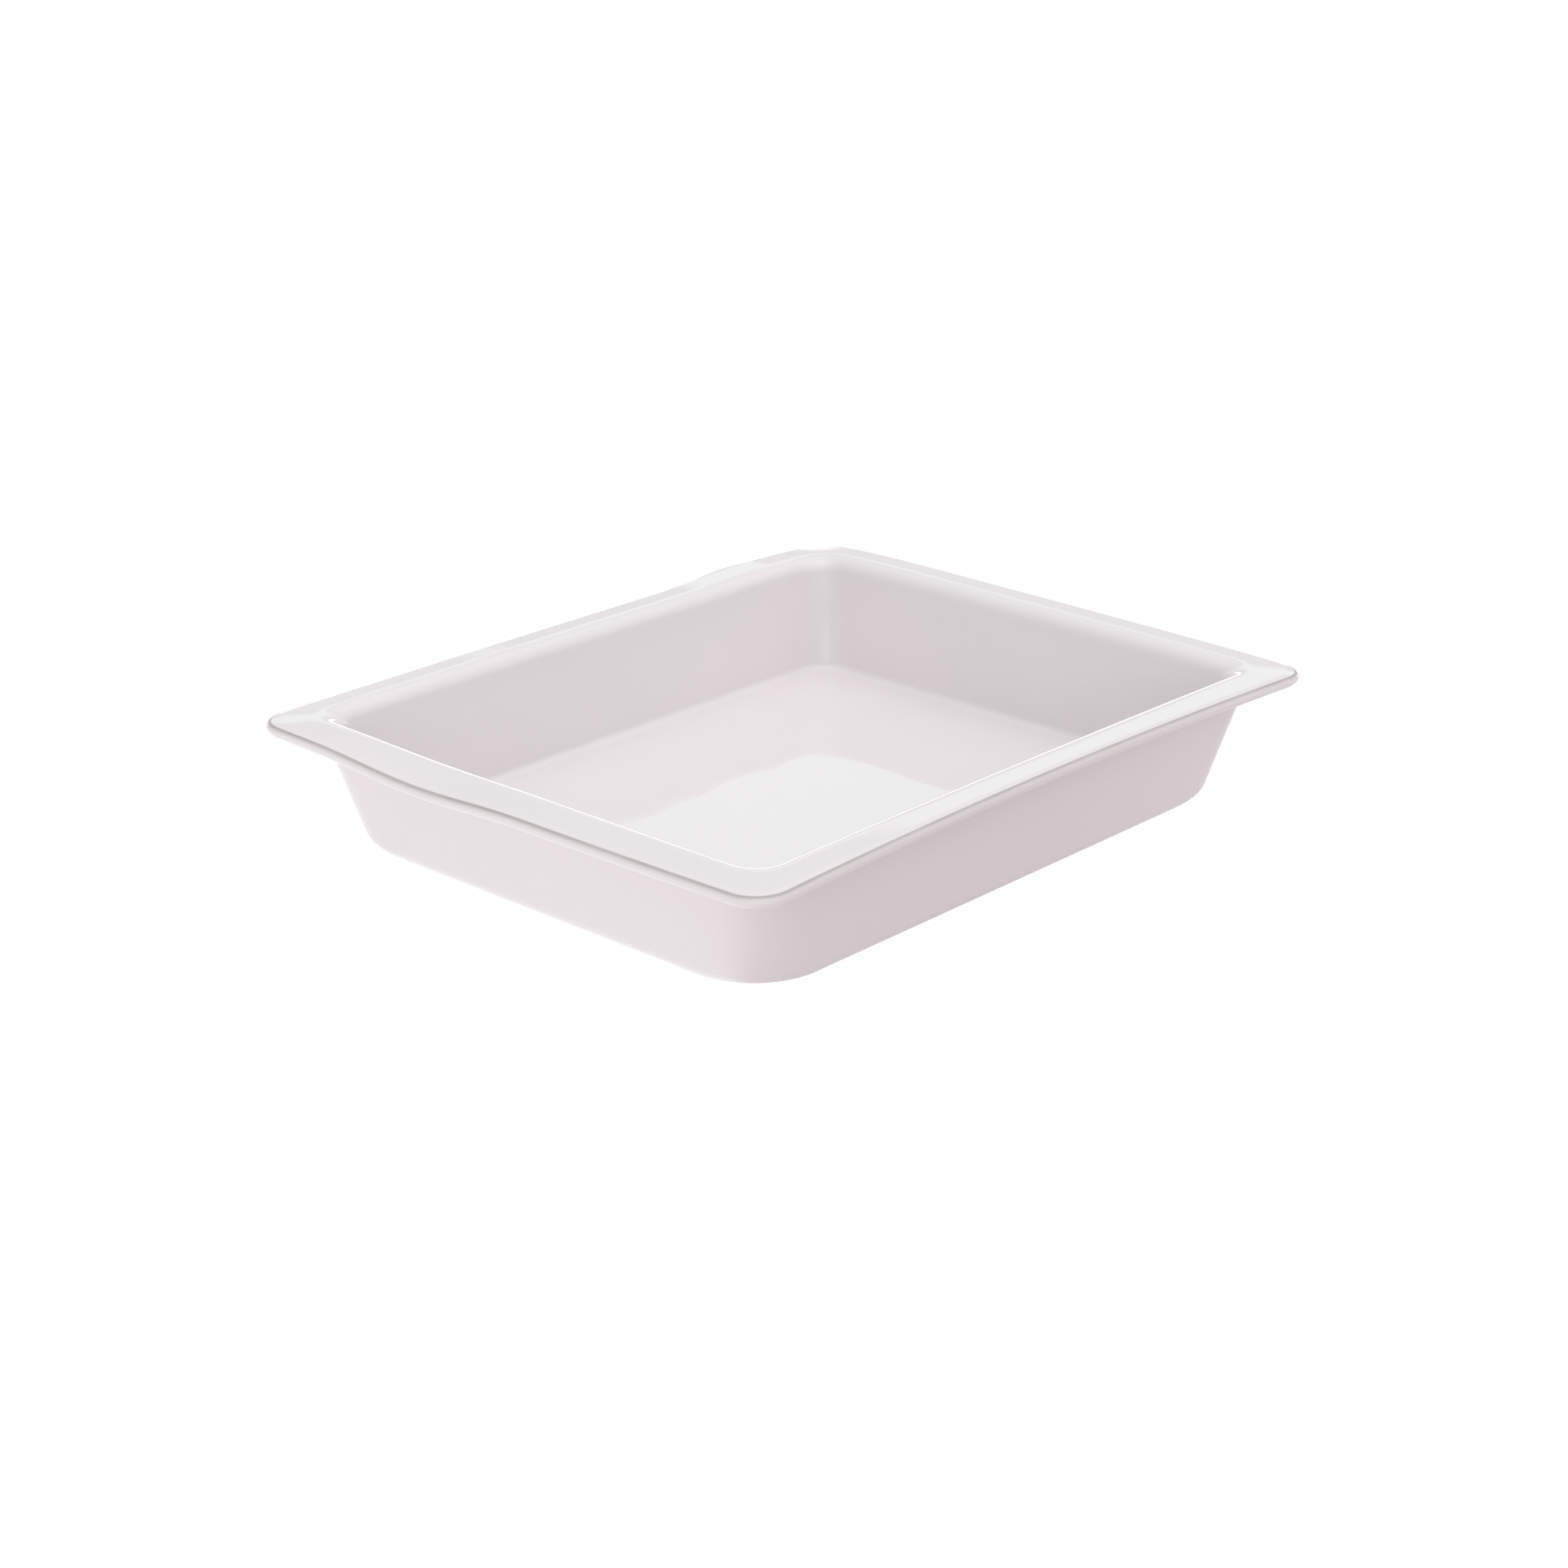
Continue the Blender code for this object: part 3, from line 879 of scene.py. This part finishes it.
# %% The clay's colour, grain and dull surface
CLAY = (0.74, 0.70, 0.65, 1.0)
CLAY_DARK = (0.62, 0.57, 0.51, 1.0)
CLAY_SMOOTHEST, CLAY_RANGE = 0.62, 0.25
CLAY_GRAIN_HEIGHT = 0.0002
bare_clay, clay_tree, clay_shader, clay_place = new_finish("bare_clay")
clay_grain = use_group(clay_tree, grain, clay_place, Coarse=120.0, Fine=1800.0, Fine_share=0.6)
colour = mix_colours(clay_tree, clay_grain, CLAY, CLAY_DARK)
iron = use_group(clay_tree, specks, clay_place, Cells=220.0, Size=0.12, Chance=0.08)
colour = mix_colours(clay_tree, iron, colour, SPECK_BROWN)
plug(clay_tree, clay_shader.inputs["Base Color"], colour)
roughness = calculate(clay_tree, "MULTIPLY_ADD", clay_grain, CLAY_RANGE, CLAY_SMOOTHEST)
plug(clay_tree, clay_shader.inputs["Roughness"], roughness)
clay_normal = bump(clay_tree, clay_grain, CLAY_GRAIN_HEIGHT)
plug(clay_tree, clay_shader.inputs["Normal"], clay_normal)
print("the clay has", len(clay_tree.nodes), "nodes")

# %% [markdown]
# From flat sheets to three finished pieces
#
# Each piece takes its flat mesh through the tree as a modifier. The result is then copied to
# a plain mesh, because a modifier that is still live could change the piece later on.

# %% Run a piece through the tree and ride it on the pan's one body


def fire(name, levels, finish, node_name):
    """Make one finished piece that stands for a solid of the engineering model."""
    sheet = bpy.data.objects.new(name, sheet_mesh(name + "_sheet", levels))
    bpy.context.scene.collection.objects.link(sheet)
    modifier = sheet.modifiers.new("kiln", "NODES")
    modifier.node_group = kiln
    for item in kiln.interface.items_tree:
        if item.in_out == "INPUT" and item.name in MOVES:
            modifier[item.identifier] = MOVES[item.name]
        elif item.in_out == "INPUT" and item.name == "Finish":
            modifier[item.identifier] = finish
    graph = bpy.context.evaluated_depsgraph_get()
    ready = sheet.evaluated_get(graph)
    mesh = bpy.data.meshes.new_from_object(ready, preserve_all_data_layers=True, depsgraph=graph)
    sheet.modifiers.remove(modifier)
    sheet.data = mesh
    mesh.name = name
    for label in ("walk", "turn", "half_sizes", "corner", "height", "share"):
        mesh.attributes.remove(mesh.attributes[label])
    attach(sheet, "root")
    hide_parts(node_name)
    size = [round(s * 1000, 2) for s in sheet.dimensions]
    print(name, "faces", len(mesh.polygons), "size in mm", size)
    return sheet


glaze = fire("porcelain_glaze", coat_levels(), white_glaze, "glaze_coat")
clay = fire("porcelain_clay", clay_levels(), bare_clay, "pan_body")
panel = fire("foot_panel_glaze", panel_levels(), white_glaze, "underside_glaze")

# %% [markdown]
# The studio
#
# The photograph is a catalogue picture: a white pan on a ground that was cut out and left pure
# white, in soft light from all round. The pan itself tells what the light was. Its left wall
# is bright and its right wall is in shade, so the real ground was dim on that side. The floor
# here is white to the camera and gives the pan less light there. Lamps could be set up one by
# one, but a tent of white cloth, brighter or darker by direction, makes the soft gradients of
# glazed walls with a single background and little noise. A few panels in the tent are
# brighter. The one that the well's floor reflects is a little cool, as daylight is, because
# that reflection is whiter than the pan.

# %% Helpers for ramps and places on the ground


def ramp(tree, share, stops):
    """A Color Ramp of greys: stops are (place, brightness)."""
    node = tree.nodes.new("ShaderNodeValToRGB")
    plug(tree, node.inputs[0], share)
    elements = node.color_ramp.elements
    while len(elements) < len(stops):
        elements.new(1.0)
    for element, (where, level) in zip(elements, stops):
        element.position = where
        element.color = (level, level, level, 1.0)
    return node.outputs["Color"]


def along_direction(tree, vector, direction):
    """How far a vector reaches along a direction."""
    node = tree.nodes.new("ShaderNodeVectorMath")
    node.operation = "DOT_PRODUCT"
    plug(tree, node.inputs[0], vector)
    plug(tree, node.inputs[1], direction)
    return node.outputs["Value"]


def soft_step(tree, value, start, end):
    """0 before the start, 1 past the end and a smooth rise between them."""
    node = tree.nodes.new("ShaderNodeMapRange")
    node.interpolation_type = "SMOOTHSTEP"
    for label, amount in (("Value", value), ("From Min", start), ("From Max", end)):
        plug(tree, node.inputs[label], amount)
    return node.outputs["Result"]


print("helpers for ramps, directions and soft steps are ready")

# %% A pale floor that stays white
FLOOR_HALF = 12.0
FLOOR_PAPER = (0.12, 0.12, 0.12, 1.0)
FLOOR_TO_CAMERA = (1.0, 1.0, 1.0, 1.0)
FLOOR_TO_PAN = (1.02, 0.99, 1.0, 1.0)
FLOOR_SHADE = (0.57, 0.49, 0.51, 1.0)
SHADE_PLACE = Vector((-0.01, -0.25, 0.0))
SHADE_REACH = 0.32
SHADE_EDGE = Vector((-0.157, -0.112, 0.0))
SHADE_SIDE = Vector((0.574, -0.819, 0.0))
SHADE_SOFT = 0.005


def floor_finish():
    """White to the camera; to the pan, white with a soft shade on its right."""
    material, tree, shader, place = new_finish("pale_paper")
    shader.inputs["Base Color"].default_value = FLOOR_PAPER
    shader.inputs["Roughness"].default_value = 1.0
    shader.inputs["Specular IOR Level"].default_value = 0.0
    from_shade = calculate_vector(tree, "SUBTRACT", place, SHADE_PLACE)
    away = tree.nodes.new("ShaderNodeVectorMath")
    away.operation = "LENGTH"
    plug(tree, away.inputs[0], from_shade)
    near = calculate(tree, "DIVIDE", away.outputs["Value"], SHADE_REACH)
    near = calculate(tree, "MULTIPLY", near, near)
    near = calculate(tree, "EXPONENT", calculate(tree, "MULTIPLY", near, -1.0))
    from_edge = calculate_vector(tree, "SUBTRACT", place, SHADE_EDGE)
    past_edge = along_direction(tree, from_edge, SHADE_SIDE)
    near = calculate(tree, "MULTIPLY", near, soft_step(tree, past_edge, -SHADE_SOFT, SHADE_SOFT))
    to_pan = mix_colours(tree, near, FLOOR_TO_PAN, FLOOR_SHADE)
    seen = tree.nodes.new("ShaderNodeLightPath").outputs["Is Camera Ray"]
    light = mix_colours(tree, seen, to_pan, FLOOR_TO_CAMERA)
    plug(tree, shader.inputs["Emission Color"], light)
    shader.inputs["Emission Strength"].default_value = 1.0
    return material


print("the shade lies", round(-SHADE_PLACE.y * 1000), "mm to the right of the pan's middle")

# %% Lay the floor


def make_floor():
    """A flat square sheet under the pan's foot. It is stage, not part of the pan."""
    mesh = bpy.data.meshes.new("pale_floor")
    corners = [(-FLOOR_HALF, -FLOOR_HALF), (FLOOR_HALF, -FLOOR_HALF)]
    corners += [(FLOOR_HALF, FLOOR_HALF), (-FLOOR_HALF, FLOOR_HALF)]
    mesh.from_pydata([(x, y, 0.0) for x, y in corners], [], [(0, 1, 2, 3)])
    mesh.materials.append(floor_finish())
    floor = bpy.data.objects.new("pale_floor", mesh)
    bpy.context.scene.collection.objects.link(floor)
    return floor


floor = make_floor()
print("the floor is", FLOOR_HALF * 2, "m wide")

# %% A tent of white cloth round the pan
# Each stop is the sine of a height above the horizon, and the light there.
BACK_OF_TENT = ((0.0, 0.95), (0.12, 0.75), (0.25, 0.72), (0.32, 0.50), (0.566, 0.50))
BACK_OF_TENT += ((0.788, 0.78), (0.93, 0.95), (1.0, 1.07))
FRONT_OF_TENT = ((0.0, 0.2), (0.12, 0.25), (0.216, 0.39), (0.375, 0.84), (0.566, 1.12))
FRONT_OF_TENT += ((0.788, 1.5), (0.93, 1.5), (1.0, 1.08))
print("most light at the back:", max(light for _, light in BACK_OF_TENT))
print("most light in front:", max(light for _, light in FRONT_OF_TENT))

# %% Brighter panels in the tent
# Angles are in degrees: where a panel is, its half width and height, and how soft its edge is.
Panel = namedtuple("Panel", "azimuth elevation half_width half_height soft light")
PANELS = {
    "backdrop": Panel(42, 0.5, 50, 8, 2, (1.7, 1.7, 1.7)),
    "back_cloth": Panel(42, 22.2, 48, 3.7, 1.2, (0.42, 0.60, 0.61)),
    "overhead_cloth": Panel(222, 88, 12, 12, 1.5, (1.5, 1.5, 1.5)),
    "front_lamp": Panel(222, 13, 12, 7, 2, (1.8, 1.8, 1.8)),
}
FACING_SOFT = 0.02  # keeps a panel out of the opposite half of the tent


def panel_light(tree, direction, panel):
    """A rectangle of cloth that glows, with soft edges."""
    azimuth, elevation = math.radians(panel.azimuth), math.radians(panel.elevation)
    right = Vector((-math.sin(azimuth), math.cos(azimuth), 0.0))
    level = Vector((math.cos(azimuth), math.sin(azimuth), 0.0))
    ahead = level * math.cos(elevation) + Vector((0.0, 0.0, math.sin(elevation)))
    up = ahead.cross(right)
    mask = soft_step(tree, along_direction(tree, direction, ahead), 0.0, FACING_SOFT)
    for axis, half in ((right, panel.half_width), (up, panel.half_height)):
        off = calculate(tree, "ABSOLUTE", along_direction(tree, direction, axis))
        inner, outer = (math.sin(math.radians(half + edge)) for edge in (-panel.soft, panel.soft))
        mask = calculate(tree, "MULTIPLY", mask, soft_step(tree, off, outer, inner))
    return calculate_vector(tree, "MULTIPLY", mask, panel.light)


print("the tent has", len(PANELS), "brighter panels")

# %% Hang the tent
LEVEL_LEAST = 0.001  # avoids a division by nothing straight overhead


def make_tent():
    """Light by direction: blended from the tent's front to its back, with the panels on top."""
    world = bpy.data.worlds.new("white_tent")
    world.use_nodes = True
    tree = world.node_tree
    background = tree.nodes["Background"]
    direction = tree.nodes.new("ShaderNodeTexCoord").outputs["Generated"]
    x, y, z = split(tree, direction)
    squares = calculate(tree, "MULTIPLY_ADD", x, x, calculate(tree, "MULTIPLY", y, y))
    level = calculate(tree, "MAXIMUM", calculate(tree, "SQRT", squares), LEVEL_LEAST)
    frontness = calculate(tree, "MULTIPLY_ADD", calculate(tree, "DIVIDE", y, level), -0.5, 0.5)
    back, front = ramp(tree, z, BACK_OF_TENT), ramp(tree, z, FRONT_OF_TENT)
    light = mix_colours(tree, frontness, back, front)
    for panel in PANELS.values():
        light = calculate_vector(tree, "ADD", light, panel_light(tree, direction, panel))
    plug(tree, background.inputs["Color"], light)
    bpy.context.scene.world = world
    return world


tent = make_tent()
bpy.context.scene.view_settings.view_transform = "Standard"
print("the tent's light is one background of", len(tent.node_tree.nodes), "nodes")
